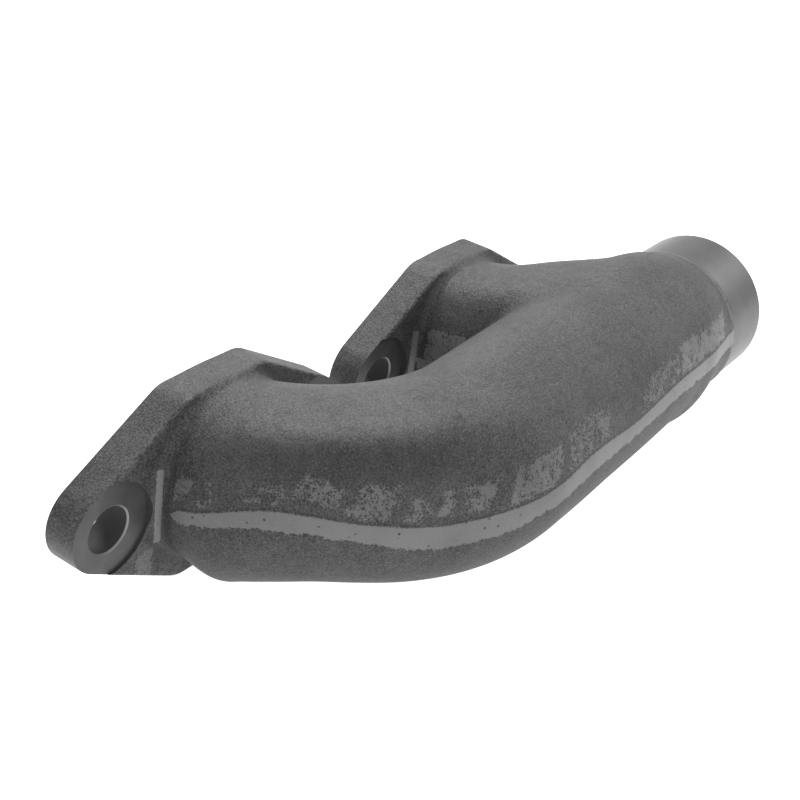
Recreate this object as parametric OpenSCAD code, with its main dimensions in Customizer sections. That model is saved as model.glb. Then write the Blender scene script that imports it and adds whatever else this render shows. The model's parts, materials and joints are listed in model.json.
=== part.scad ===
// Exhaust manifold end section: two port flanges, two swept runners and a log that ends in a
// turned slip-joint spigot, all one hollow iron casting. Millimetres. The mating faces lie in
// the plane y = 0, the gas leaves along +x, and the origin is the centre of the front flange.
// Each node is one region of the casting, and neighbouring regions meet face to face.

/* [Ports] */
// Distance between the two port centres along the cylinder head
port_pitch = 120; // [115:1:160]
// Angle by which the runners rise above the normal of the mating faces
port_tilt = 7.5; // [0:0.5:9]

/* [Flanges] */
// Thickness of each flange
flange_t = 11; // [8:0.5:14]
// Distance between the two bolt holes of a flange
bolt_pitch = 86; // [78:1:100]
// Diameter of a bolt hole
bolt_hole_d = 14; // [9:0.5:18]
// Diameter of the machined seat around a bolt hole
spotface_d = 29; // [22:0.5:32]
// Depth of the machined seat below the cast face
spotface_depth = 0.8; // [0.3:0.1:2]
// Radius of the ear around a bolt hole
ear_r = 12.7; // [11:0.1:15]
// Height of a flange between its top and bottom flats
flange_h = 59.5; // [56:0.5:72]
// Half the length of each flat, measured to the corner that its round replaces
flat_half = 16; // [13:0.5:20]
// Radius of the round between a flat and a sloping side
corner_r = 12; // [4:1:16]

/* [Runners and log] */
// Outside diameter of both runners
runner_d = 57; // [48:0.5:58]
// Wall thickness of the runners and the log
wall = 5.5; // [4:0.5:7]
// Radius of the fillet between a runner and its flange
root_r = 5; // [3:0.5:6]
// Length of straight runner before the front bend starts
run_in = 12; // [9:0.5:16]
// Bend radius of the front runner's centre line
bend_r = 53.5; // [44:0.5:64]
// Bend radius of the rear runner, which sweeps into the log toward the outlet
rear_bend_r = 52; // [50:0.5:60]
// Outside diameter of the log at the rear port
log_d = 62; // [60:0.5:68]

/* [Outlet] */
// Distance from the rear port's centre to the shoulder behind the spigot
outlet_reach = 55; // [50:1:80]
// Outside diameter of the cast shoulder
shoulder_d = 53.5; // [51:0.5:57]
// Outside diameter of the turned spigot
spigot_d = 52; // [42:0.5:56]
// Length of the turned spigot
spigot_len = 26; // [16:1:40]
// Wall thickness of the spigot
spigot_wall = 4.5; // [3:0.5:6]
// Chamfer on the spigot's open end
spigot_chamfer = 1.5; // [0.5:0.5:2.5]

/* [Hidden] */
$fn = 96;

iron = [0.31, 0.31, 0.31];
turned = [0.50, 0.50, 0.50];

past = 5;                        // how far a cutting tool runs past the metal
overlap = 0.01;                  // keeps the end of a bore clear of a shared face

runner_r = runner_d / 2;
bore_r = runner_r - wall;        // gas passage of the runners
log_r = log_d / 2;
spigot_r = spigot_d / 2;
spigot_bore_r = spigot_r - spigot_wall;
shoulder_r = shoulder_d / 2;
bolt_x = bolt_pitch / 2;

log_y = run_in + bend_r;         // the log's axis, measured from the mating faces
shoulder_x = port_pitch + outlet_reach;
fullest_x = port_pitch + 5;      // where the log is fullest
full_from_x = bend_r + 50;       // the log has grown to its full size here

flat_z = flange_h / 2;
flange_gap = 1;                  // least gap between the two flanges' ears

// The front flange ends at this distance, with its runner's first few millimetres.
neck_y = max(flange_t + root_r + 1, run_in + 4);
neck_angle = asin((neck_y - run_in) / bend_r);   // the same place, round the front bend

// The rear bend stops a little short of the log's axis, and turns by 65 degrees at the most. It
// starts at the same distance as the front neck, or further out where the log lies further out.
rear_end_y = log_y - 1.4;
rear_sweep = asin(min((rear_end_y - neck_y) / rear_bend_r, sin(65)));
rear_start = rear_end_y - rear_bend_r * sin(rear_sweep);
// Angle of the rear bend where its gas crosses the log's near wall, 8.5 inside the log's skin.
rear_entry = asin((log_y - log_r + 8.5 - rear_start) / rear_bend_r);

// ---- tools shared by the nodes ----

// The runners' plane: its y axis is the line along which a runner leaves its flange.
module runner_plane() { rotate([-port_tilt, 0, 0]) children(); }

// Round bar along -y between two distances from the mating face.
module bar_y(r, from, to) { translate([0, -from, 0]) rotate([90, 0, 0]) cylinder(r = r, h = to - from); }

// Round bar that leaves the mating face along -y and bends toward +x: the part of it between two
// angles, when the bend starts at the distance start and its centre line has the radius about.
module bend(r, start, about, from, to) {
    translate([about, -start, 0])
        rotate(180 + from) rotate_extrude(angle = to - from) translate([about, 0]) circle(r = r);
}

// The two runners' bends.
module front_bend(r, from, to) { bend(r, run_in, bend_r, from, to); }
module rear_bend(r, from, to) { translate([port_pitch, 0, 0]) bend(r, rear_start, rear_bend_r, from, to); }

// Outline of a flange: two ears, two flats, and sloping sides tangent to both.
module flange_outline() {
    reach = norm([bolt_x - flat_half, flat_z]);
    // Direction that a sloping side faces, from the ear's tangent through the flat's corner.
    facing = atan2(flat_z, flat_half - bolt_x) - acos(ear_r / reach);
    round_x = flat_half - corner_r * tan((90 - facing) / 2);
    round_z = flat_z - corner_r;
    out = [cos(facing), sin(facing)];
    quarter = [[bolt_x, 0] + ear_r * out, [round_x, round_z] + corner_r * out, [round_x, flat_z]];
    half = concat(quarter, [for (i = [2:-1:0]) [-quarter[i].x, quarter[i].y]]);
    polygon(concat(half, [for (i = [5:-1:0]) [half[i].x, -half[i].y]]));
    for (side = [-1, 1]) {
        translate([side * bolt_x, 0]) circle(r = ear_r);
        for (end = [-1, 1]) translate([side * round_x, end * round_z]) circle(r = corner_r);
    }
}

// Plate with the flange's outline, its mating face at y = 0.
module flange_plate(depth) { rotate([90, 0, 0]) linear_extrude(depth) flange_outline(); }

// Fillet at the root of a runner, kept inside the flange's outline. It stops at six tenths of its
// height, where it is still just clear of the runner's skin, so that it never grazes the bend.
module root_fillet() {
    intersection() {
        flange_plate(flange_t + root_r + past);
        runner_plane() translate([0, -flange_t, 0]) rotate([90, 0, 0]) rotate_extrude() difference() {
            translate([0, -past]) square([runner_r + root_r, 0.6 * root_r + past]);
            translate([runner_r + root_r, root_r]) circle(r = root_r);
        }
    }
}

// Bolt holes, with a machined seat on the cast side of each.
module bolt_cuts() {
    for (side = [-1, 1]) translate([side * bolt_x, 0, 0]) {
        bar_y(bolt_hole_d / 2, -past, flange_t + past);
        bar_y(spotface_d / 2, flange_t - spotface_depth, flange_t + past);
    }
}

// Blocks that cut the ears off square where the next flange would meet them.
module ear_trims() {
    size = bolt_pitch;
    for (side = [-1, 1])
        translate([side * (port_pitch - flange_gap + size) / 2, 0, 0]) cube(size, center = true);
}

// One flange before its runner is added and bored out.
module flange_solid() {
    difference() {
        union() { flange_plate(flange_t); root_fillet(); }
        bolt_cuts();
        ear_trims();
    }
}

// Round bar on the log's axis that follows the log's growth and taper between its two ends:
// the outer skin when inset is 0, or the gas passage when it is the wall.
module log_bar(inset, end_r, run_on) {
    translate([0, -log_y, 0]) rotate([0, 90, 0]) rotate_extrude() polygon([
        [0, bend_r - run_on],
        [runner_r - inset, bend_r - run_on],
        [runner_r - inset, bend_r],
        [log_r - inset, full_from_x],
        [log_r - inset, fullest_x],
        [end_r, shoulder_x],
        [end_r, shoulder_x + run_on],
        [0, shoulder_x + run_on],
    ]);
}
module log_skin() { log_bar(0, shoulder_r, 0); }
module log_passage() { log_bar(wall, spigot_bore_r, overlap); }

// Straight hole through the log's near wall, on a tangent to the rear runner's bend.
module rear_inlet() {
    translate([port_pitch + rear_bend_r, -rear_start, 0]) rotate(rear_entry)
        translate([-rear_bend_r, 0, 0]) rotate([90, 0, 0])
            translate([0, 0, -log_r]) cylinder(r = bore_r, h = 2 * log_r);
}

// Block on the far side of the face that the front flange shares with its runner.
module beyond_neck() {
    size = 2 * (runner_r + root_r + past);
    translate([bend_r, -run_in, 0]) rotate(neck_angle)
        translate([-bend_r - size / 2, -size, -size / 2]) cube(size);
}

// ---- nodes ----

// Front flange, with the first few millimetres of the front runner.
module front_flange() {
    color(iron) difference() {
        union() {
            flange_solid();
            runner_plane() { bar_y(runner_r, flange_t / 2, run_in); front_bend(runner_r, 0, neck_angle); }
        }
        runner_plane() {
            bar_y(bore_r, -past, run_in);
            front_bend(bore_r, -overlap, neck_angle + overlap);
            beyond_neck();
        }
    }
}

// Rear flange, with the straight start of the rear runner.
module rear_flange() {
    color(iron) translate([port_pitch, 0, 0]) difference() {
        union() { flange_solid(); runner_plane() bar_y(runner_r, flange_t / 2, rear_start); }
        runner_plane() bar_y(bore_r, -past, rear_start + overlap);
    }
}

// The front runner, from its flange round to the log.
module front_elbow() {
    color(iron) runner_plane() difference() {
        front_bend(runner_r, neck_angle, 90);
        front_bend(bore_r, neck_angle - overlap, 90 + overlap);
    }
}

// The rear runner, from its flange to the log's skin.
module rear_runner() {
    color(iron) runner_plane() difference() {
        rear_bend(runner_r, 0, rear_sweep);
        rear_bend(bore_r, -overlap, rear_sweep + overlap);
        log_skin();
    }
}

// The log, pierced where the rear runner's gas comes in.
module log_tube() {
    color(iron) runner_plane() difference() {
        log_skin();
        log_passage();
        rear_inlet();
    }
}

// Turned spigot, which slides into the next section.
module outlet_spigot() {
    color(turned) runner_plane()
        translate([shoulder_x, -log_y, 0]) rotate([0, 90, 0]) rotate_extrude() polygon([
            [spigot_bore_r, 0],
            [spigot_r, 0],
            [spigot_r, spigot_len - spigot_chamfer],
            [spigot_r - spigot_chamfer, spigot_len],
            [spigot_bore_r, spigot_len],
        ]);
}

front_flange();
front_elbow();
log_tube();
rear_runner();
rear_flange();
outlet_spigot();
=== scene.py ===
# Exhaust manifold end section: the cast skin with its fillets, the turned spigot, the finishes,
# the stage and the camera. Shapes are worked out in millimetres and put into meshes in metres.
import json
import math

import bmesh
import bpy
import numpy as np
from mathutils import Matrix, Vector


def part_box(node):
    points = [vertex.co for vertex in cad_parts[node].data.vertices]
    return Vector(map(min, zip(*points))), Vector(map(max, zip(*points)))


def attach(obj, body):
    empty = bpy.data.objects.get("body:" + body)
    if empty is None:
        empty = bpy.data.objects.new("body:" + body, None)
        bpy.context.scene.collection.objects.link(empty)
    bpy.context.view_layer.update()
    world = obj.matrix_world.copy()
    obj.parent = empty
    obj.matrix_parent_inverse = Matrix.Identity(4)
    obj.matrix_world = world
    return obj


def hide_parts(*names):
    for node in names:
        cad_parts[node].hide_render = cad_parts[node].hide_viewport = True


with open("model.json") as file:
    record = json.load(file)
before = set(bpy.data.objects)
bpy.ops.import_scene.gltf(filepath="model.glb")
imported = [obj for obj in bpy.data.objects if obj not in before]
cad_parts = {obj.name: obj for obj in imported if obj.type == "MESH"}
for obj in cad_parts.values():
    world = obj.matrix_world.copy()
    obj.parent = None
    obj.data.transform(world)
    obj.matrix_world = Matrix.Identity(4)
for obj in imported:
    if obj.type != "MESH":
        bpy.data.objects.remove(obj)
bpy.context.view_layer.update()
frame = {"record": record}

mm = 0.001
mounts = {mount["name"]: mount for mount in frame["record"]["mounts"]}
portPitch = mounts["rear_bolts"]["pos_m"][0] / mm
boltX = mounts["front_bolts"]["dims"]["spacing_x_mm"] / 2
boltR = mounts["front_bolts"]["dims"]["hole_r_mm"]
spigotR = mounts["outlet_spigot"]["dims"]["r_mm"]
spigotCentre = np.array(mounts["outlet_spigot"]["pos_m"]) / mm
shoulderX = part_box("outlet_spigot")[0][0] / mm
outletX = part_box("outlet_spigot")[1][0] / mm
print("frame loaded: ports", round(portPitch, 1), "mm apart, outlet at", round(outletX, 1), "mm")

# The runners lie in a plane that rises from the mating faces. x runs along the head, out is the
# distance from the mating faces within that plane, and up is the height above the plane.
tilt = math.atan2(spigotCentre[2], -spigotCentre[1])
logOut = math.hypot(spigotCentre[1], spigotCentre[2])
outAxis = np.array([0, -math.cos(tilt), math.sin(tilt)])
upAxis = np.array([0, math.sin(tilt), math.cos(tilt)])

casting = {
    "portR": 23.0,            # gas passage at the mating faces
    # gas passage at places along the front runner's centre line, to the outlet
    "passageAt": (96, 150, 170, 217.5),
    "passageR": (23.0, 25.5, 25.5, 21.5),
    "passageBlend": 6.0,      # how widely the two runners' passages run into each other
    "rootBlend": 4.5,         # how widely a runner's skin runs into its flange
    "crotchBlend": 9.0,       # how widely the rear runner's skin runs into the log
    "pocketBlend": 2.5,       # the same low down, in the pocket between the two
    "pocketTop": 19.0,        # height at which that pocket starts to open out
    "pocketOpens": 9.0,       # further height over which it does
    "sunkBlend": 1.5,         # the same where the rear runner's skin ends inside the log
    "neck": 17.0,             # distance out at which the flanges end and the runners start
    "split": 33.0,            # distance out at which the rear runner ends and the log starts
}
frontRunner = {
    "start": 12.0,            # straight length before the bend
    "bend": logOut - 12.0,    # bend radius of the centre line
    # distance along the centre line, and the skin's radius there
    "along": (0, 17, 40, 70, 96, 125, 155, 178, 200, 211, 217.5),
    "radius": (27.2, 27.3, 28.1, 29.2, 30.0, 30.7, 31.0, 30.3, 28.5, 27.2, 26.7),
    # how much fuller the section is straight down and straight up, at places along the centre line
    "underAt": (0, 8, 14, 20, 26, 33, 43, 50, 62, 75, 94, 110, 130, 150, 172, 191, 205, 217.5),
    "under": (-2.5, -2.0, 1.4, 4.0, 2.2, 0.1, -1.8, -1.8, -0.9, -0.2, -0.2, -1.0, -2.6, -3.6, -4.0,
              -3.3, -2.2, -0.4),
    "overAt": (0, 150, 170, 190, 200, 207, 213, 217.5),
    "over": (0, 0, 0.4, 1.9, 2.3, 1.9, 0.6, 0),
    # a shoulder along the outer side's upper part: how far it stands out, its angle above the
    # runners' plane and its width, both in radians
    "shoulderAt": (0, 18, 30, 46, 62, 80, 100, 125),
    "shoulder": (0, 0.3, 2.2, 3.6, 3.2, 2.1, 1.0, 0),
    "shoulderAngle": 0.86, "shoulderWidth": 0.27,
}
rearRunner = {
    "start": 17.0, "bend": 52.0, "sweep": math.radians(65),
    "turned": (0, 0.25, 0.5, 0.75, 1),            # share of the bend, and the skin's radius there
    "radius": (27.3, 28.3, 30.4, 31.0, 30.2),
    "shoulder": (0.4, 2.6, 3.5, 2.4, 0), "shoulderAngle": 0.97, "shoulderWidth": 0.30,
}
flange = {
    "depth": 11.0, "height": 59.5, "earR": 12.7, "cornerR": 12.0, "flatHalf": 16.0,
    "edgeR": 0.8,             # round along the cast edges
    "seatR": 14.5,            # machined seat of a bolt head
    "seatDepth": 0.9,
    "holeChamfer": 0.45,
}


def planeCoordinates(points):
    # distance along the head, distance out and height above the runners' plane
    return points[..., 0], points @ outAxis, points @ upAxis


def smoothUnion(a, b, blend):
    # the smaller of two distances, less a parabola where they differ by under the blend width
    near = np.maximum(blend - np.abs(a - b), 0) / blend
    return np.minimum(a, b) - near * near * blend / 4


def smoothCurve(at, places, values):
    # cubic curve through the values, with each slope taken from the two neighbours
    places, values = np.array(places, float), np.array(values, float)
    slopes = np.gradient(values, places)
    i = np.clip(np.searchsorted(places, at) - 1, 0, len(places) - 2)
    gap = places[i + 1] - places[i]
    t = np.clip((at - places[i]) / gap, 0, 1)
    rise = 3 * t**2 - 2 * t**3
    return (values[i] * (1 - rise) + values[i + 1] * rise
            + gap * (t**3 - 2 * t**2 + t) * slopes[i] + gap * (t**3 - t**2) * slopes[i + 1])


def bulge(up, across, runner):
    # bell curve of the angle round a section, at its highest where the runner's shoulder lies
    return np.exp(-((np.arctan2(up, across) - runner["shoulderAngle"]) / runner["shoulderWidth"])**2)


def frontBar(x, out, up):
    # distance from the front runner's centre line, and how far along it: straight, arc, then the log
    start, bend = frontRunner["start"], frontRunner["bend"]
    angle = np.arctan2(out - start, bend - x)
    fromArc = np.hypot(bend - x, out - start) - bend
    onLog, onStart = x >= bend, (out <= start) & (x < bend)
    across = np.where(onLog, out - logOut, np.where(onStart, -x, fromArc))
    quarter = start + bend * math.pi / 2
    along = np.where(onLog, quarter + x - bend, np.where(onStart, out, start + bend * angle))
    fromLine = np.hypot(across, up)
    # the section is not quite round: fuller or flatter below and above, and at the shoulder
    lift = up / np.maximum(fromLine, 1)
    under = smoothCurve(along, frontRunner["underAt"], frontRunner["under"])
    over = smoothCurve(along, frontRunner["overAt"], frontRunner["over"])
    shoulder = np.interp(along, frontRunner["shoulderAt"], frontRunner["shoulder"])
    fuller = (under * np.maximum(-lift, 0) + over * np.maximum(lift, 0)
              + shoulder * bulge(up, across, frontRunner))
    return fromLine - fuller, along


def rearBar(x, out, up):
    # the same for the rear runner, whose bend stops inside the log; t runs from 0 to 1 round it
    start, bend, sweep = rearRunner["start"], rearRunner["bend"], rearRunner["sweep"]
    toSide = portPitch + bend - x
    angle = np.clip(np.arctan2(out - start, toSide), 0, sweep)
    cx, cOut = portPitch + bend - bend * np.cos(angle), start + bend * np.sin(angle)
    cOut = np.where(out < start, out, cOut)
    cx = np.where(out < start, portPitch, cx)
    t = angle / sweep
    across = np.where(out < start, portPitch - x, np.hypot(toSide, out - start) - bend)
    shoulder = np.interp(t, rearRunner["turned"], rearRunner["shoulder"])
    fuller = shoulder * bulge(up, across, rearRunner)
    return np.sqrt((x - cx)**2 + (out - cOut)**2 + up**2) - fuller, t


def flangeOutline(x, z):
    # distance from the outline of two ears, two flats and the sloping sides that touch both
    x, z = np.abs(x), np.abs(z)
    flatZ, earR, cornerR = flange["height"] / 2, flange["earR"], flange["cornerR"]
    reach = math.hypot(boltX - flange["flatHalf"], flatZ)
    facing = math.atan2(flatZ, flange["flatHalf"] - boltX) - math.acos(earR / reach)
    roundX = flange["flatHalf"] - cornerR * math.tan((math.pi / 2 - facing) / 2)
    roundZ = flatZ - cornerR
    side = (x - boltX) * math.cos(facing) + z * math.sin(facing) - earR
    ear = np.hypot(x - boltX, z) - earR
    corner = np.hypot(x - roundX, z - roundZ) - cornerR
    earAngle = np.arctan2(z, x - boltX)
    cornerAngle = np.arctan2(z - roundZ, x - roundX)
    distance = np.maximum(side, z - flatZ)
    distance = np.where((cornerAngle > facing) & (cornerAngle < math.pi / 2), corner, distance)
    return np.where(earAngle < facing, np.maximum(ear, side), distance)


def flangePlate(points, portX):
    # the outline carried back from the cast face to past the mating face, with rounded cast edges
    depth, edge, past = flange["depth"], flange["edgeR"], 4.0
    middle, half = (past - depth) / 2, (past + depth) / 2
    a = flangeOutline(points[..., 0] - portX, points[..., 2]) + edge
    b = np.abs(points[..., 1] - middle) - half + edge
    return np.minimum(np.maximum(a, b), 0) + np.hypot(np.maximum(a, 0), np.maximum(b, 0)) - edge


def passageGap(frontFrom, frontAlong, rearFrom):
    # distance from the gas passage, which is as wide as the ports, swells in the log and narrows
    # to the outlet
    radius = np.interp(frontAlong, casting["passageAt"], casting["passageR"])
    return smoothUnion(frontFrom - radius, rearFrom - casting["portR"], casting["passageBlend"])


def castSkin(points):
    # outer skin: both runners blended into one, then into the two flanges
    place = planeCoordinates(points)
    frontFrom, frontAlong = frontBar(*place)
    front = frontFrom - smoothCurve(frontAlong, frontRunner["along"], frontRunner["radius"])
    rearFrom, t = rearBar(*place)
    rear = rearFrom - smoothCurve(t, rearRunner["turned"], rearRunner["radius"])
    # the corner between the rear runner and the log closes up as the runner sinks into the log,
    # and it is tighter low down, in the pocket between the two
    high = np.clip((place[2] - casting["pocketTop"]) / casting["pocketOpens"], 0, 1)
    corner = casting["crotchBlend"] * high + casting["pocketBlend"] * (1 - high)
    corner = corner * (1 - t) + casting["sunkBlend"] * t
    runners = smoothUnion(front, rear, corner)
    plates = np.minimum(flangePlate(points, 0), flangePlate(points, portPitch))
    outer = smoothUnion(runners, plates, casting["rootBlend"])
    return np.maximum(outer, -passageGap(frontFrom, frontAlong, rearFrom))


groundStrip = {
    # where the parting flash was ground off: at places along the front runner and the log, the
    # height of the strip's middle above the runners' plane, and half its width
    "along": (14, 15, 17, 35, 52, 63, 75, 87, 107, 133, 167, 193),
    "middle": (-1.6, -1.5, -1.3, 3.8, 1.0, -2.1, -2.8, -2.4, 0.4, 1.0, 3.0, 2.0),
    "half": (-3, 0, 2.0, 2.7, 2.8, 3.8, 3.8, 3.2, 3.2, 2.5, 2.6, 2.9),
    "innerHalf": 2.0,         # half its width on the side toward the cylinder head
    "startOut": 14.5,         # distance out at which it starts
    # patches above it where the wheel touched the high grains: middle along, half length, how far
    # above the strip's upper edge each starts and ends, and strength
    "patches": ((17.3, 2.3, 2.0, 10.5, 0.85), (22.5, 2.4, 0.3, 9.0, 0.65), (34.5, 4.0, 1.0, 7.0, 0.8),
                (43, 4.6, 3.0, 10.5, 0.9), (53, 4.2, 0.4, 11.0, 0.95), (61.0, 2.4, 0.8, 8.0, 0.85),
                (66, 1.9, 1.5, 10.0, 0.9), (72.5, 3.6, 1.5, 10.5, 0.9), (86, 7.0, 0.6, 11.5, 0.95),
                (107, 12, 0.2, 11.0, 0.75), (153, 14, 0.2, 9.0, 0.75), (188, 20, 0.5, 10.0, 1.0)),
    "patchSoft": 2.6,                   # width over which they fade
    "lean": 0.3, "leanFrom": 5,         # how far their tops lean along the runner, and from what height
    "touchedOut": 15,                   # distance out at which they start
    "stain": (50, 24, 13.5, 23.5),      # painted shade on the front bend: middle along, half length, from and to up
    "stainSoft": (22, 5),               # how widely it fades, along and up
    "rearPatch": (25, 7.5, 3, 9.5),     # rear runner: distance out and height, with half sizes
    "rearPatchSoft": (0.8, 1.2),        # how widely it fades, out and up
    "rearPatchFrom": 20,                # how far past the front bend it may start
    "none": -3,                         # half width that stands for no strip
}


def window(at, middle, half, soft):
    # 1 within half of the middle, falling to 0 over the soft width
    return np.clip((half - np.abs(at - middle)) / soft + 0.5, 0, 1)


def markSkin(mesh):
    # four values at every point for the finish to read: height above the middle of the ground
    # strip, half the strip's width there (below 0 where there is none), how hard the wheel
    # touched the skin beside it, and how dark the painted shade on the front bend is
    points = np.empty(len(mesh.vertices) * 3, np.float32)
    mesh.vertices.foreach_get("co", points)
    x, out, up = planeCoordinates(points.reshape(-1, 3) / mm)
    frontFrom, along = frontBar(x, out, up)
    outside = passageGap(frontFrom, along, rearBar(x, out, up)[0]) > 1.5
    start, bend = frontRunner["start"], frontRunner["bend"]
    fromBend = np.hypot(bend - x, out - start) - bend
    outer = np.where(x >= bend, out - logOut, np.where(out <= start, -x, fromBend)) > 0
    middle = smoothCurve(along, groundStrip["along"], groundStrip["middle"])
    rise = up - np.where(outer, middle, 0)
    half = np.interp(along, groundStrip["along"], groundStrip["half"])
    half = np.where(outer, half, groundStrip["innerHalf"])
    half = np.where((out > groundStrip["startOut"]) & outside, half, groundStrip["none"])
    above = rise - half
    leant = along - groundStrip["lean"] * np.clip(above - groundStrip["leanFrom"], -5, 7)
    soft = groundStrip["patchSoft"]
    touched = outer * np.max([
        strength * window(leant, middle, reach, soft)
        * window(above, (low + high) / 2, (high - low) / 2, soft)
        for middle, reach, low, high, strength in groundStrip["patches"]], axis=0)
    atOut, halfOut, atUp, halfUp = groundStrip["rearPatch"]
    onRear = (x > bend + groundStrip["rearPatchFrom"]) & (x < portPitch) & ~outer
    softOut, softUp = groundStrip["rearPatchSoft"]
    rear = window(out, atOut, halfOut, softOut) * window(up, atUp, halfUp, softUp) * onRear
    touched = np.maximum(touched * (out > groundStrip["touchedOut"]), rear) * outside
    # painted shade over the front bend's shadowed band
    middle, reach, low, high = groundStrip["stain"]
    softAlong, softUp = groundStrip["stainSoft"]
    stain = (window(along, middle, reach, softAlong)
             * window(up, (low + high) / 2, (high - low) / 2, softUp))
    marks = {"stripRise": rise, "stripHalf": half, "touched": touched, "stain": outer * stain}
    for name, values in marks.items():
        values = values.astype(np.float32)
        mesh.attributes.new(name, "FLOAT", "POINT").data.foreach_set("value", values)


def skinNet(low, high, step):
    # one corner in each cube of a grid that the skin passes through, then one four-sided face
    # across each grid edge that it cuts, wound so that it faces out of the metal
    axes = [np.arange(low[i], high[i] + step, step) for i in range(3)]
    grid = np.stack(np.meshgrid(*axes, indexing="ij"), axis=-1)
    inside = castSkin(grid) < 0
    cubes = sum(inside[i:i - 1 or None, j:j - 1 or None, k:k - 1 or None].astype(np.int8)
                for i in (0, 1) for j in (0, 1) for k in (0, 1))
    crossed = (cubes > 0) & (cubes < 8)
    index = np.full(crossed.shape, -1)
    index[crossed] = np.arange(crossed.sum())
    points = grid[:-1, :-1, :-1][crossed] + step / 2
    probe = 0.02              # how far to each side the slope is measured
    for _ in range(5):        # walk down the slope of the distance, on to the skin
        off = castSkin(points)
        rises = [castSkin(points + d) - castSkin(points - d) for d in probe * np.eye(3)]
        slope = np.stack(rises, axis=-1) / (2 * probe)
        points = points - (off / np.maximum((slope**2).sum(-1), 0.2))[:, None] * slope
    faces = []
    for axis in range(3):
        b, c = (axis + 1) % 3, (axis + 2) % 3
        inner = [slice(None)] * 3
        inner[b] = inner[c] = slice(1, -1)
        state = inside[tuple(inner)].swapaxes(0, axis) if axis else inside[tuple(inner)]
        leaves, enters = state[:-1] & ~state[1:], ~state[:-1] & state[1:]
        around = []
        for db, dc in ((0, 0), (1, 0), (1, 1), (0, 1)):
            part = [slice(None)] * 3
            part[b] = slice(db, index.shape[b] - 1 + db)
            part[c] = slice(dc, index.shape[c] - 1 + dc)
            cell = index[tuple(part)]
            around.append(cell.swapaxes(0, axis) if axis else cell)
        ring = np.stack(around, axis=-1)
        faces += [ring[leaves], ring[enters][:, ::-1]]
    return points, np.concatenate(faces)


def meshFrom(name, points, faces):
    # mesh from arrays of points in millimetres and four-sided faces
    mesh = bpy.data.meshes.new(name)
    mesh.vertices.add(len(points))
    mesh.vertices.foreach_set("co", (points * mm).astype(np.float32).ravel())
    mesh.loops.add(faces.size)
    mesh.loops.foreach_set("vertex_index", faces.astype(np.int32).ravel())
    mesh.polygons.add(len(faces))
    mesh.polygons.foreach_set("loop_start", np.arange(0, faces.size, 4, dtype=np.int32))
    mesh.update(calc_edges=True)
    mesh.validate()
    return mesh


def cutMesh(mesh, planes):
    # takes away what lies beyond each plane, given by a point and a direction in millimetres,
    # and closes the cut with triangles
    sheet = bmesh.new()
    sheet.from_mesh(mesh)
    for point, direction in planes:
        cut = bmesh.ops.bisect_plane(
            sheet, geom=sheet.verts[:] + sheet.edges[:] + sheet.faces[:], dist=1e-7,
            plane_co=Vector(point) * mm, plane_no=Vector(direction), clear_outer=True)
        edges = [e for e in cut["geom_cut"] if isinstance(e, bmesh.types.BMEdge)]
        bmesh.ops.triangle_fill(sheet, edges=edges, use_beauty=True, normal=Vector(direction))
    sheet.to_mesh(mesh)
    sheet.free()


def ringMesh(name, profile, centre, axis, count=128, closed=False):
    # a profile of (radius, distance along the axis) carried round an axis that points along x or y
    angle = np.linspace(0, 2 * math.pi, count, endpoint=False)
    profile = np.array(profile, float)
    radius, along = profile[:, 0][:, None], profile[:, 1][:, None]
    a, b = radius * np.cos(angle), radius * np.sin(angle)
    along = along + 0 * a
    shape = np.stack((along, a, b) if axis == "x" else (b, along, a), axis=-1)
    rows, columns = len(profile), count
    row = np.arange(rows if closed else rows - 1)[:, None]
    column = np.arange(columns)[None, :]
    nextRow, nextColumn = (row + 1) % rows, (column + 1) % columns
    faces = np.stack([row * columns + column + 0 * nextRow, row * columns + nextColumn,
                      nextRow * columns + nextColumn, nextRow * columns + column], axis=-1).reshape(-1, 4)
    mesh = meshFrom(name, shape.reshape(-1, 3) + np.array(centre), faces)
    sheet = bmesh.new()
    sheet.from_mesh(mesh)
    bmesh.ops.remove_doubles(sheet, verts=sheet.verts[:], dist=1e-7)
    bmesh.ops.recalc_face_normals(sheet, faces=sheet.faces[:])
    sheet.to_mesh(mesh)
    sheet.free()
    return mesh


def newPiece(name, mesh):
    # object at the origin that shows a mesh
    piece = bpy.data.objects.new(name, mesh)
    bpy.context.collection.objects.link(piece)
    return piece


def boltCutter(x):
    # drill and seat cutter in one: the hole, its chamfer, and the seat beyond the cast face
    seatY = -(flange["depth"] - flange["seatDepth"])
    chamfer, seatR = flange["holeChamfer"], flange["seatR"]
    top, bottom = 2, -30      # the cutter's ends, both clear of the metal
    profile = [(0, top), (boltR, top), (boltR, seatY + chamfer), (boltR + chamfer, seatY),
               (seatR, seatY), (seatR, bottom), (0, bottom)]
    cutter = newPiece("cutter", ringMesh("cutter", profile, (x, 0, 0), "y"))
    cutter.data.materials.append(machinedSeat)
    return cutter


def finishPiece(piece, slot, *nodes):
    # smooth shading except across sharp edges, and what the frame has to know about the piece
    mesh = piece.data
    sharpFrom = math.radians(32)
    mesh.polygons.foreach_set("use_smooth", np.ones(len(mesh.polygons), bool))
    mesh.set_sharp_from_angle(angle=sharpFrom)
    if slot == "cast_iron":
        markSkin(mesh)
    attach(piece, "root")
    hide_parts(*nodes)
    print(piece.name, len(mesh.polygons), "faces")


def castPiece(name, low, high, step, planes):
    # one region of the casting, between its cutting planes
    points, faces = skinNet(low, high, step)
    mesh = meshFrom(name, points, faces)
    cutMesh(mesh, planes)
    mesh.materials.append(castIron)
    return newPiece(name, mesh)


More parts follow.
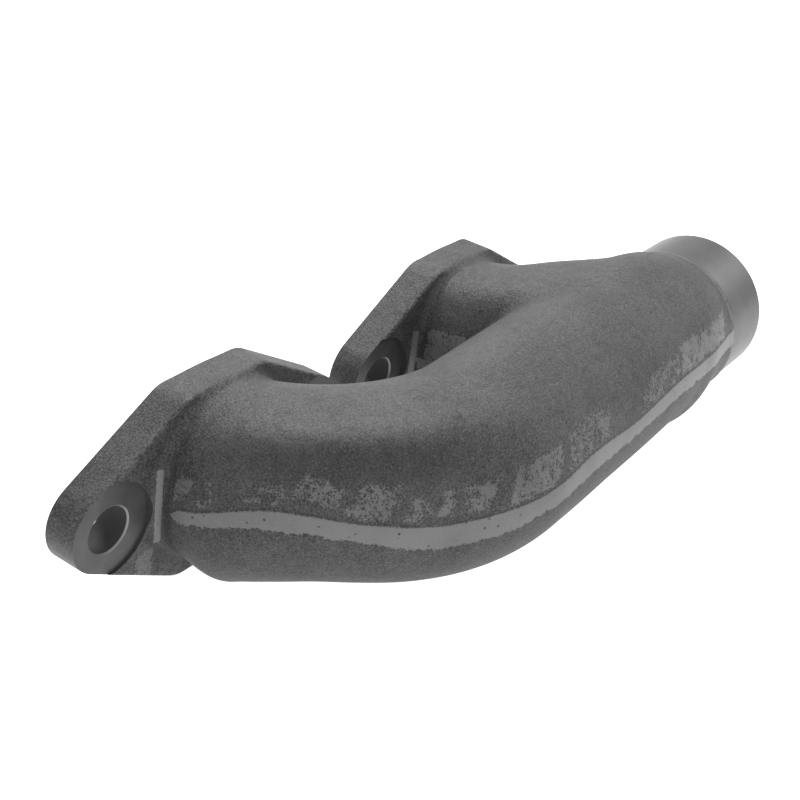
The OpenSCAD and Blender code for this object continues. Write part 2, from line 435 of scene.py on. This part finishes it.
# The planes that part the regions, each as a point and the direction out of the nearer region.
neckAngle = math.asin((casting["neck"] - frontRunner["start"]) / frontRunner["bend"])
bendCentre = np.array([frontRunner["bend"], 0, 0]) + outAxis * frontRunner["start"]
neckDirection = np.array([math.sin(neckAngle), 0, 0]) + outAxis * math.cos(neckAngle)
frontNeck = (bendCentre, neckDirection)
elbowEnd = (bendCentre, np.array([1.0, 0, 0]))
rearNeck = (outAxis * casting["neck"], outAxis)
logSide = (outAxis * casting["split"], outAxis)
shoulder = (np.array([shoulderX, 0, 0]), np.array([1.0, 0, 0]))
matingFace = (np.zeros(3), np.array([0, 1.0, 0]))


def beyond(plane):
    # the same plane, seen from its other side
    return plane[0], -plane[1]


def machineFlange(piece, portX):
    # cuts the two bolt holes and their seats, and gives the mating face its machined finish
    for x in (portX - boltX, portX + boltX):
        cutter = boltCutter(x)
        cut = piece.modifiers.new("bolt", "BOOLEAN")
        cut.operation, cut.solver, cut.object = "DIFFERENCE", "EXACT", cutter
        cut.material_mode = "TRANSFER"
        bpy.context.view_layer.objects.active = piece
        bpy.ops.object.modifier_apply(modifier=cut.name)
        bpy.data.objects.remove(cutter)
    mesh = piece.data
    if machinedSeat.name not in mesh.materials:
        mesh.materials.append(machinedSeat)
    seat = list(mesh.materials).index(machinedSeat)
    centres, used = np.empty(len(mesh.polygons) * 3), np.empty(len(mesh.polygons), np.int32)
    mesh.polygons.foreach_get("center", centres)
    mesh.polygons.foreach_get("material_index", used)
    used = np.where(centres[1::3] > -1e-6, seat, used).astype(np.int32)
    mesh.polygons.foreach_set("material_index", used)


def newMaterial(name):
    # a material, its tree of nodes and its shader
    material = bpy.data.materials.new(name)
    material.use_nodes = True
    return material, material.node_tree, material.node_tree.nodes["Principled BSDF"]


def feed(tree, socket, value):
    # plugs another node's output into a socket, or sets the socket to a plain value
    if isinstance(value, bpy.types.NodeSocket):
        tree.links.new(value, socket)
    else:
        socket.default_value = value


def calc(tree, operation, a, b=0.0, c=0.0):
    # one step of arithmetic on up to three values
    step = tree.nodes.new("ShaderNodeMath")
    step.operation = operation
    for socket, value in zip(step.inputs, (a, b, c)):
        feed(tree, socket, value)
    return step.outputs[0]


def lengthAlong(tree, place, axis):
    # how far a place in millimetres lies along a direction
    dot = tree.nodes.new("ShaderNodeVectorMath")
    dot.operation = "DOT_PRODUCT"
    tree.links.new(place, dot.inputs[0])
    dot.inputs[1].default_value = tuple(axis)
    return dot.outputs["Value"]


def ramp(tree, value, low, high, toLow=0.0, toHigh=1.0):
    # carries a value smoothly from one range to another
    step = tree.nodes.new("ShaderNodeMapRange")
    step.interpolation_type = "SMOOTHSTEP"
    tree.links.new(value, step.inputs["Value"])
    for socket, number in zip(step.inputs[1:5], (low, high, toLow, toHigh)):
        feed(tree, socket, number)
    return step.outputs["Result"]


def grainNoise(tree, place, perMillimetre, detail=3.0, rough=0.6, shift=0.0):
    # soft cloudy noise, with that many lumps to a millimetre
    noise = tree.nodes.new("ShaderNodeTexNoise")
    noise.noise_dimensions = "4D"
    tree.links.new(place, noise.inputs["Vector"])
    noise.inputs["W"].default_value = shift
    noise.inputs["Scale"].default_value = perMillimetre
    noise.inputs["Detail"].default_value = detail
    noise.inputs["Roughness"].default_value = rough
    return noise.outputs[0]


def sandGrain(tree, place, perMillimetre):
    # distance from the nearest of scattered points, for pits
    cells = tree.nodes.new("ShaderNodeTexVoronoi")
    tree.links.new(place, cells.inputs["Vector"])
    cells.inputs["Scale"].default_value = perMillimetre
    return cells.outputs["Distance"]


def mixColour(tree, amount, a, b):
    # colour a at amount 0, running to colour b at amount 1
    mix = tree.nodes.new("ShaderNodeMix")
    mix.data_type = "RGBA"
    feed(tree, mix.inputs[0], amount)
    feed(tree, mix.inputs[6], a)
    feed(tree, mix.inputs[7], b)
    return mix.outputs[2]


def placeInMillimetres(tree):
    # where a point lies on the part
    where = tree.nodes.new("ShaderNodeTexCoord")
    scale = tree.nodes.new("ShaderNodeVectorMath")
    scale.operation = "SCALE"
    tree.links.new(where.outputs["Object"], scale.inputs[0])
    scale.inputs["Scale"].default_value = 1 / mm
    return scale.outputs["Vector"]


def grey(value):
    # a colour with no tint
    return value, value, value, 1


def ownValue(tree, name):
    # one of the values that the mesh carries at its points
    value = tree.nodes.new("ShaderNodeAttribute")
    value.attribute_name = name
    return value.outputs["Fac"]


def product(tree, *values):
    # all the values multiplied together
    result = values[0]
    for value in values[1:]:
        result = calc(tree, "MULTIPLY", result, value)
    return result


def addRelief(tree, shader, height, depth, strength):
    # bumps of a depth in millimetres that follow a height
    bump = tree.nodes.new("ShaderNodeBump")
    bump.inputs["Distance"].default_value = depth * mm
    bump.inputs["Strength"].default_value = strength
    tree.links.new(height, bump.inputs["Height"])
    tree.links.new(bump.outputs["Normal"], shader.inputs["Normal"])


def speckle(tree, noise, height):
    # a noise value made to swing about zero by up to about half the height
    return calc(tree, "MULTIPLY", calc(tree, "SUBTRACT", noise, 0.5), height)


castFinish = {
    "dark": 0.010, "light": 0.084,        # sand-cast skin, from its pits to its high spots
    "ground": 0.132,                      # where the wheel has cut through the skin; also the colour of the painted glints and highlights
    "dirt": 0.012, "hole": 0.02,          # dirt in the skin's pits and painted shade, and pinholes in the ground metal
    "roughSkin": 0.60, "roughGround": 0.46, "metallic": 0.35,
    "stain": 0.42,                        # how dark the painted shade on the front bend's shadowed band is
    "relief": 0.30, "bump": 0.8,          # depth of the sand grain, and how strongly it shows
}
stripEdges = {
    "upperRagged": 1.2, "lowerRagged": 5.0, "lowerGrain": 2.4,      # how far each edge wanders
    "fade": (-0.15, 0.3),                                           # softness of both edges
    "grooveFrom": (-1.1, -0.5), "grooveTo": (-0.2, 0.1),            # painted shade of a groove beyond the upper edge
}
flangeMarks = {
    # marks on the flanges and beside them, in millimetres sideways from a port, along y and up z.
    # A pair gives where a mark starts to show and where it shows fully, or the other way round
    "castFace": -10.4,                                      # y past which the cast side lies
    "footAcross": 8.1, "footHalf": 1.0, "footHigh": 12.5,   # ground foot of the runner by each seat
    "footFrom": 25.0, "footTo": 31.0, "footDepth": -16.0,
    "cornerSide": 30.0, "cornerDepth": -12.5,               # ground corner below that foot
    "cornerFade": (3.9, 2.6), "cornerLow": (-12.0, -15.0), "cornerStrength": 0.85,
    "earSide": (51.0, 55.0), "earLow": (5.0, -9.0), "earStrength": 0.6,     # scuffed ends of the ears, with a painted glint towards their lower ends
    "edgeFrom": 14.0,                                       # worn cast edge of the flange
    "edgeStart": (-9.5, -10.2), "edgeEnd": (-11.05, -10.95), "edgeStrength": 0.5,
    "dirtStart": (-18.0, -16.5), "dirtEnd": (-15.0, -14.4),                 # painted shade in the crease beside the runner
    "dirtSide": (22.0, 26.0), "dirtHigh": (17.0, 13.0), "dirtStrength": 0.45,
}


def groundStripMask(tree, grain, mottle):
    # the ground strip, with a crisp upper edge and a ragged lower one, and painted shade of a groove above
    # it
    rise, half = ownValue(tree, "stripRise"), ownValue(tree, "stripHalf")
    upper = calc(tree, "ADD", calc(tree, "SUBTRACT", half, rise),
                 speckle(tree, grain, stripEdges["upperRagged"]))
    lower = calc(tree, "ADD", calc(tree, "ADD", half, rise),
                 speckle(tree, mottle, stripEdges["lowerRagged"]))
    lower = calc(tree, "ADD", lower, speckle(tree, grain, stripEdges["lowerGrain"]))
    strip = ramp(tree, calc(tree, "MINIMUM", upper, lower), *stripEdges["fade"])
    grooveShade = product(tree, ramp(tree, upper, *stripEdges["grooveFrom"]),
                     ramp(tree, upper, *stripEdges["grooveTo"], 1.0, 0.0), ramp(tree, mottle, 0.42, 0.55))
    return strip, grooveShade


def touchedMask(tree, grain, mottle):
    # patches where the wheel only touched the high grains
    touched = ownValue(tree, "touched")
    patch = calc(tree, "ADD", touched, speckle(tree, grain, 2.3))
    patch = calc(tree, "ADD", patch, speckle(tree, mottle, 2.2))
    patch = calc(tree, "MULTIPLY", ramp(tree, patch, 0.55, 0.95), ramp(tree, touched, 0.05, 0.3))
    return calc(tree, "MULTIPLY", patch, 0.75)


def flangeMasks(tree, x, y, z, grain, mottle):
    # the ground and worn places on and beside a flange, the ears' ends with a painted glint, and the
    # painted shade in the corner beside its runner, each a product of ramps across its own borders
    marks = flangeMarks
    past = calc(tree, "GREATER_THAN", x, portPitch / 2)
    nearestPort = calc(tree, "MULTIPLY", past, portPitch)
    fromPort = calc(tree, "ABSOLUTE", calc(tree, "SUBTRACT", x, nearestPort))
    high = calc(tree, "ABSOLUTE", z)
    outside = calc(tree, "LESS_THAN", y, marks["castFace"])
    near = product(tree, calc(tree, "GREATER_THAN", y, marks["footDepth"]),
                   calc(tree, "LESS_THAN", fromPort, marks["footTo"]),
                   calc(tree, "GREATER_THAN", fromPort, marks["footFrom"]))
    # the runner's foot beside each bolt seat slopes, so it is measured across that slope
    acrossFoot = calc(tree, "MULTIPLY_ADD", fromPort, -0.65, calc(tree, "MULTIPLY", y, -0.75))
    fromFoot = calc(tree, "ABSOLUTE", calc(tree, "ADD", acrossFoot, marks["footAcross"]))
    foot = product(tree, ramp(tree, calc(tree, "ADD", fromFoot, speckle(tree, grain, 1.3)),
                              marks["footHalf"] + 0.15, marks["footHalf"] - 0.15),
                   ramp(tree, high, marks["footHigh"] + 0.3, marks["footHigh"] - 0.3),
                   outside, near)
    # the flange's corner below it
    fromCorner = calc(tree, "ABSOLUTE", calc(tree, "SUBTRACT", fromPort, marks["cornerSide"]))
    cornerSide = calc(tree, "ADD", fromCorner, speckle(tree, mottle, 6.0))
    cornerLow = calc(tree, "ADD", z, speckle(tree, mottle, 9.0))
    corner = product(tree, ramp(tree, cornerSide, *marks["cornerFade"]),
                     ramp(tree, cornerLow, *marks["cornerLow"]), outside,
                     calc(tree, "GREATER_THAN", y, marks["cornerDepth"]),
                     ramp(tree, grain, 0.30, 0.46), marks["cornerStrength"])
    # the ears' ends: scuffs, and a painted glint that grows towards their lower ends
    earLow = calc(tree, "ADD", z, speckle(tree, mottle, 12.0))
    ear = product(tree, ramp(tree, fromPort, *marks["earSide"]), ramp(tree, earLow, *marks["earLow"]),
                  marks["earStrength"])
    worn = calc(tree, "ADD", grain, speckle(tree, mottle, 0.8))
    edge = product(tree, ramp(tree, y, *marks["edgeStart"]), ramp(tree, y, *marks["edgeEnd"]),
                   calc(tree, "GREATER_THAN", fromPort, marks["edgeFrom"]),
                   ramp(tree, worn, 0.42, 0.6), marks["edgeStrength"])
    # painted shade in the crease between the ground foot and the runner
    cornerShade = product(tree, ramp(tree, y, *marks["dirtStart"]),
                         ramp(tree, y, *marks["dirtEnd"], 1.0, 0.0),
                         ramp(tree, fromPort, *marks["dirtSide"]),
                         ramp(tree, high, *marks["dirtHigh"]), marks["dirtStrength"])
    return (foot, corner, ear, edge), cornerShade


def makeCastIron():
    # sand-cast skin: grain and mottling, a ground strip along the parting line, half-ground
    # patches beside it, ground and worn places on the flanges, dirt and pits, with painted shade, glints and
    # highlights
    material, tree, shader = newMaterial("castIron")
    place = placeInMillimetres(tree)
    x, y, z = (lengthAlong(tree, place, axis) for axis in ((1, 0, 0), (0, 1, 0), (0, 0, 1)))
    blotch = grainNoise(tree, place, 0.05, 2.0)
    mottle = grainNoise(tree, place, 0.34, 4.0, 0.6)
    grain = grainNoise(tree, place, 1.7, 2.0, 0.7)
    fine = grainNoise(tree, place, 3.6, 2.0, 0.6)
    sand = sandGrain(tree, place, 1.1)
    strip, grooveShade = groundStripMask(tree, grain, mottle)
    onFlange, cornerShade = flangeMasks(tree, x, y, z, grain, mottle)
    # painted highlight along the casting's edge at the spigot's shoulder
    rim = product(tree, ramp(tree, x, shoulderX - 1.9, shoulderX - 1.5),
                  ramp(tree, mottle, 0.36, 0.52), 0.55)
    # the ground and worn places, together with the painted highlights at the spigot's shoulder and the ears'
    # lower ends
    ground = strip
    for part in (touchedMask(tree, grain, mottle), *onFlange, rim):
        ground = calc(tree, "MAXIMUM", ground, part)
    # skin colour, from all the sizes of grain
    tone = calc(tree, "MULTIPLY_ADD", mottle, 0.40, calc(tree, "MULTIPLY", grain, 1.30))
    tone = calc(tree, "MULTIPLY_ADD", fine, 0.45, calc(tree, "MULTIPLY_ADD", blotch, 0.35, tone))
    tone = ramp(tree, tone, 0.90, 1.60)
    skin = mixColour(tree, tone, grey(castFinish["dark"]), grey(castFinish["light"]))
    # dirt in the pits, and painted shade along the strip's groove, in the flange's corner and on the front
    # bend
    pits = product(tree, ramp(tree, sand, 0.10, 0.26, 0.55, 0.0), ramp(tree, mottle, 0.45, 0.6))
    stain = calc(tree, "MULTIPLY", ownValue(tree, "stain"), castFinish["stain"])
    dirt = pits
    for part in (calc(tree, "MULTIPLY", grooveShade, 0.7), cornerShade, stain):
        dirt = calc(tree, "MAXIMUM", dirt, part)
    skin = mixColour(tree, dirt, skin, grey(castFinish["dirt"]))
    # light specks: painted glints on the high grains, in the ground metal's colour
    paintedGlints = ramp(tree, grainNoise(tree, place, 2.3, 1.0, 0.5, 5.1), 0.64, 0.72, 0.0, 0.7)
    skin = mixColour(tree, paintedGlints, skin, grey(castFinish["ground"]))
    # ground metal, with a few pinholes; painted highlights take the same colour
    scuffedAndHighlight = mixColour(tree, ramp(tree, calc(tree, "MULTIPLY_ADD", blotch, 0.8, fine), 0.6, 1.1),
                        grey(castFinish["ground"] * 0.72), grey(castFinish["ground"] * 1.08))
    holes = product(tree, ramp(tree, sandGrain(tree, place, 0.5), 0.16, 0.22, 1.0, 0.0),
                    ramp(tree, mottle, 0.50, 0.55))
    scuffedAndHighlight = mixColour(tree, holes, scuffedAndHighlight, grey(castFinish["hole"]))
    tree.links.new(mixColour(tree, ground, skin, scuffedAndHighlight), shader.inputs["Base Color"])
    tree.links.new(ramp(tree, ground, 0, 1, castFinish["roughSkin"], castFinish["roughGround"]),
                   shader.inputs["Roughness"])
    shader.inputs["Metallic"].default_value = castFinish["metallic"]
    # relief of the grain, mostly worn off where the metal is ground
    height = calc(tree, "MULTIPLY_ADD", grain, 1.0, calc(tree, "MULTIPLY", mottle, 1.1))
    height = calc(tree, "MULTIPLY_ADD", fine, 0.35, height)
    height = calc(tree, "MULTIPLY", height, ramp(tree, ground, 0, 1, 1.0, 0.15))
    height = calc(tree, "MULTIPLY_ADD", strip, 0.9, height)
    addRelief(tree, shader, height, castFinish["relief"], castFinish["bump"])
    return material


turnedFinish = {
    "colour": 0.078, "dirt": 0.02, "rough": 0.36, "metallic": 0.55,
    "feed": 2.6, "relief": 0.02, "bump": 0.6,     # tool marks to a millimetre, their depth and strength
}


def makeTurnedIron():
    # turned surface: fine tool marks round the spigot's axis, with a little staining, and painted shade in
    # the undercut
    material, tree, shader = newMaterial("turnedIron")
    place = placeInMillimetres(tree)
    x = lengthAlong(tree, place, (1, 0, 0))
    stain = grainNoise(tree, place, 0.09, 3.0)
    fine = grainNoise(tree, place, 3.0, 3.0, 0.7)
    tone = ramp(tree, calc(tree, "MULTIPLY_ADD", fine, 0.25, stain), 0.4, 0.85)
    metal = mixColour(tree, tone, grey(turnedFinish["colour"] * 0.86), grey(turnedFinish["colour"] * 1.1))
    grooveShade = ramp(tree, x, shoulderX + 1.1, shoulderX + 1.5, 1.0, 0.0)      # painted shade in the undercut
    colour = mixColour(tree, grooveShade, metal, grey(turnedFinish["dirt"]))
    tree.links.new(colour, shader.inputs["Base Color"])
    shader.inputs["Metallic"].default_value = turnedFinish["metallic"]
    tree.links.new(ramp(tree, fine, 0.3, 0.7, turnedFinish["rough"] - 0.05, turnedFinish["rough"] + 0.07),
                   shader.inputs["Roughness"])
    marks = calc(tree, "SINE", calc(tree, "MULTIPLY", x, 2 * math.pi * turnedFinish["feed"]))
    height = calc(tree, "MULTIPLY_ADD", fine, 0.8, calc(tree, "MULTIPLY", marks, 0.25))
    addRelief(tree, shader, height, turnedFinish["relief"], turnedFinish["bump"])
    return material


seatFinish = {
    "colour": 0.066, "wall": 0.045, "rim": 0.2, "pit": 0.02,      # flat, painted shade on the wall and hole, chamfer, pits
    "rough": 0.42, "roughWall": 0.8, "metallic": 0.4,
    "feed": 0.8, "relief": 0.03, "bump": 0.5,     # cutter marks to a millimetre, pits' depth and strength
}


def makeMachinedSeat():
    # bolt seats and mating faces, cut flat and since dulled, with a few small pits, and painted shade on the
    # seat walls and in the holes
    material, tree, shader = newMaterial("machinedSeat")
    place = placeInMillimetres(tree)
    cloud = grainNoise(tree, place, 0.15, 3.0)
    fine = grainNoise(tree, place, 2.2, 3.0, 0.6)
    tone = ramp(tree, calc(tree, "MULTIPLY_ADD", fine, 0.3, cloud), 0.4, 0.9)
    # faint marks of the milling cutter across the mating faces
    y, z = lengthAlong(tree, place, (0, 1, 0)), lengthAlong(tree, place, (0.25, 0, 1))
    marks = calc(tree, "SINE", calc(tree, "MULTIPLY", z, 2 * math.pi * seatFinish["feed"]))
    marks = calc(tree, "MULTIPLY", marks, ramp(tree, y, -4.0, -1.0, 0.0, 0.22))
    tone = calc(tree, "ADD", tone, marks)
    colour = mixColour(tree, tone, grey(seatFinish["colour"] * 0.82), grey(seatFinish["colour"] * 1.18))
    pits = calc(tree, "MULTIPLY", ramp(tree, sandGrain(tree, place, 0.16), 0.06, 0.12, 1.0, 0.0),
                ramp(tree, cloud, 0.5, 0.56))
    # painted shade darkens the seat's wall and the hole, and the hole's chamfer is bright
    facing = tree.nodes.new("ShaderNodeNewGeometry")
    flat = calc(tree, "ABSOLUTE", lengthAlong(tree, facing.outputs["Normal"], (0, 1, 0)))
    colour = mixColour(tree, ramp(tree, flat, 0.2, 0.5, 1.0, 0.0), colour, grey(seatFinish["wall"]))
    edge = calc(tree, "MULTIPLY", ramp(tree, flat, 0.4, 0.6), ramp(tree, flat, 0.8, 0.95, 1.0, 0.0))
    colour = mixColour(tree, edge, colour, grey(seatFinish["rim"]))
    colour = mixColour(tree, pits, colour, grey(seatFinish["pit"]))
    tree.links.new(colour, shader.inputs["Base Color"])
    shader.inputs["Metallic"].default_value = seatFinish["metallic"]
    tree.links.new(ramp(tree, flat, 0.2, 0.6, seatFinish["roughWall"], seatFinish["rough"]),
                   shader.inputs["Roughness"])
    height = calc(tree, "SUBTRACT", fine, calc(tree, "MULTIPLY", pits, 4.0))
    addRelief(tree, shader, height, seatFinish["relief"], seatFinish["bump"])
    return material


castIron = makeCastIron()
turnedIron = makeTurnedIron()
machinedSeat = makeMachinedSeat()
print("finishes made")

# each region of the casting: the box that holds it, its grid step and the planes that part it
frontFlange = castPiece("frontFlange", (-60, -22, -34), (60, 2, 36), 0.8, [matingFace, frontNeck])
machineFlange(frontFlange, 0)
finishPiece(frontFlange, "cast_iron", "front_flange")
frontElbow = castPiece("frontElbow", (-34, -100, -34), (56, -6, 44), 0.95, [beyond(frontNeck), elbowEnd])
finishPiece(frontElbow, "cast_iron", "front_elbow")
logTube = castPiece("logTube", (52, -100, -28), (178, -26, 44), 1.0,
                    [beyond(elbowEnd), shoulder, beyond(logSide)])
finishPiece(logTube, "cast_iron", "log_tube")
rearRunnerPiece = castPiece("rearRunner", (80, -42, -34), (176, -8, 42), 0.9,
                            [beyond(rearNeck), logSide])
finishPiece(rearRunnerPiece, "cast_iron", "rear_runner")
rearFlange = castPiece("rearFlange", (60, -22, -34), (180, 2, 36), 0.8, [matingFace, rearNeck])
machineFlange(rearFlange, portPitch)
finishPiece(rearFlange, "cast_iron", "rear_flange")

spigot = {
    "boreR": 21.5, "chamfer": 1.5, "boreChamfer": 0.4,
    "undercut": 0.8, "undercutTo": (0.9, 1.5),    # its depth, and where it starts and stops rising again
}
length = outletX - shoulderX
boreR, chamfer, boreChamfer = spigot["boreR"], spigot["chamfer"], spigot["boreChamfer"]
spigotProfile = [(boreR, 0), (spigotR - spigot["undercut"], 0),
                 (spigotR - spigot["undercut"], spigot["undercutTo"][0]), (spigotR, spigot["undercutTo"][1]),
                 (spigotR, length - chamfer), (spigotR - chamfer, length),
                 (boreR + boreChamfer, length), (boreR, length - boreChamfer)]
spigotAxis = (shoulderX, spigotCentre[1], spigotCentre[2])
outletSpigot = newPiece("outletSpigot", ringMesh("outletSpigot", spigotProfile, spigotAxis, "x", 192, True))
outletSpigot.data.materials.append(turnedIron)
finishPiece(outletSpigot, "turned_iron", "outlet_spigot")

stage = {
    "floorZ": -29.75,         # the flanges' lowest edges, in millimetres
    "floorSize": 6.0,         # in metres
    "floorTone": 0.3,
    "glow": 1.12,             # the floor is a lit white table, which takes no shadow
    "world": 1.0,             # brightness of the white studio round it
}
floorMesh = bpy.data.meshes.new("floor")
half = stage["floorSize"] / 2
floorZ = stage["floorZ"] * mm
corners = [(-half, -half, floorZ), (half, -half, floorZ), (half, half, floorZ), (-half, half, floorZ)]
floorMesh.from_pydata(corners, [], [(0, 1, 2, 3)])
floor = newPiece("floor", floorMesh)
paleFloor, _, floorShader = newMaterial("paleFloor")
floorShader.inputs["Base Color"].default_value = grey(stage["floorTone"])
floorShader.inputs["Roughness"].default_value = 0.8
floorShader.inputs["Emission Color"].default_value = grey(1.0)
floorShader.inputs["Emission Strength"].default_value = stage["glow"]
floorMesh.materials.append(paleFloor)

world = bpy.data.worlds.new("studio")
bpy.context.scene.world = world
world.use_nodes = True
background = world.node_tree.nodes["Background"]
background.inputs["Color"].default_value = (1, 1, 1, 1)
background.inputs["Strength"].default_value = stage["world"]

lights = {
    "aim": (0.08, -0.04, 0),
    # places are in metres, sizes are the lamps' widths in metres, and powers are in watts
    "keyAzimuth": math.radians(55), "keyElevation": math.radians(50), "keyDistance": 1.4,
    "keySize": 0.45, "keyPower": 17,
    "fillPlace": (0.9, -0.5, 0.8), "fillSize": 0.9, "fillPower": 6.4,
}


def softLight(name, place, size, power):
    # round area light that faces the lights' aim
    light = bpy.data.lights.new(name, "AREA")
    light.shape, light.size, light.energy = "DISK", size, power
    holder = bpy.data.objects.new(name, light)
    holder.location = place
    toAim = Vector(lights["aim"]) - Vector(place)
    holder.rotation_euler = toAim.to_track_quat("-Z", "Y").to_euler()
    bpy.context.collection.objects.link(holder)


azimuth, elevation, distance = lights["keyAzimuth"], lights["keyElevation"], lights["keyDistance"]
keyPlace = [lights["aim"][0] + distance * math.cos(elevation) * math.cos(azimuth),
            lights["aim"][1] + distance * math.cos(elevation) * math.sin(azimuth),
            distance * math.sin(elevation)]
softLight("key", keyPlace, lights["keySize"], lights["keyPower"])
softLight("fill", lights["fillPlace"], lights["fillSize"], lights["fillPower"])
print("floor and lights placed")

cameraView = {
    "lens": 62.8, "sensor": 36,
    "place": (-0.2588, -0.2232, 0.2230),
    "right": (0.576, -0.807, 0.129), "upward": (0.346, 0.384, 0.856), "backward": (-0.741, -0.448, 0.5),
}
camera = bpy.data.cameras.new("camera")
camera.lens, camera.sensor_width = cameraView["lens"], cameraView["sensor"]
camera.clip_start, camera.clip_end = 0.01, 20
holder = bpy.data.objects.new("camera", camera)
bpy.context.collection.objects.link(holder)
turn = Matrix([cameraView[name] for name in ("right", "upward", "backward")]).transposed()
holder.matrix_world = Matrix.Translation(cameraView["place"]) @ turn.to_4x4()
bpy.context.scene.camera = holder
bpy.context.scene.view_settings.view_transform = "Standard"
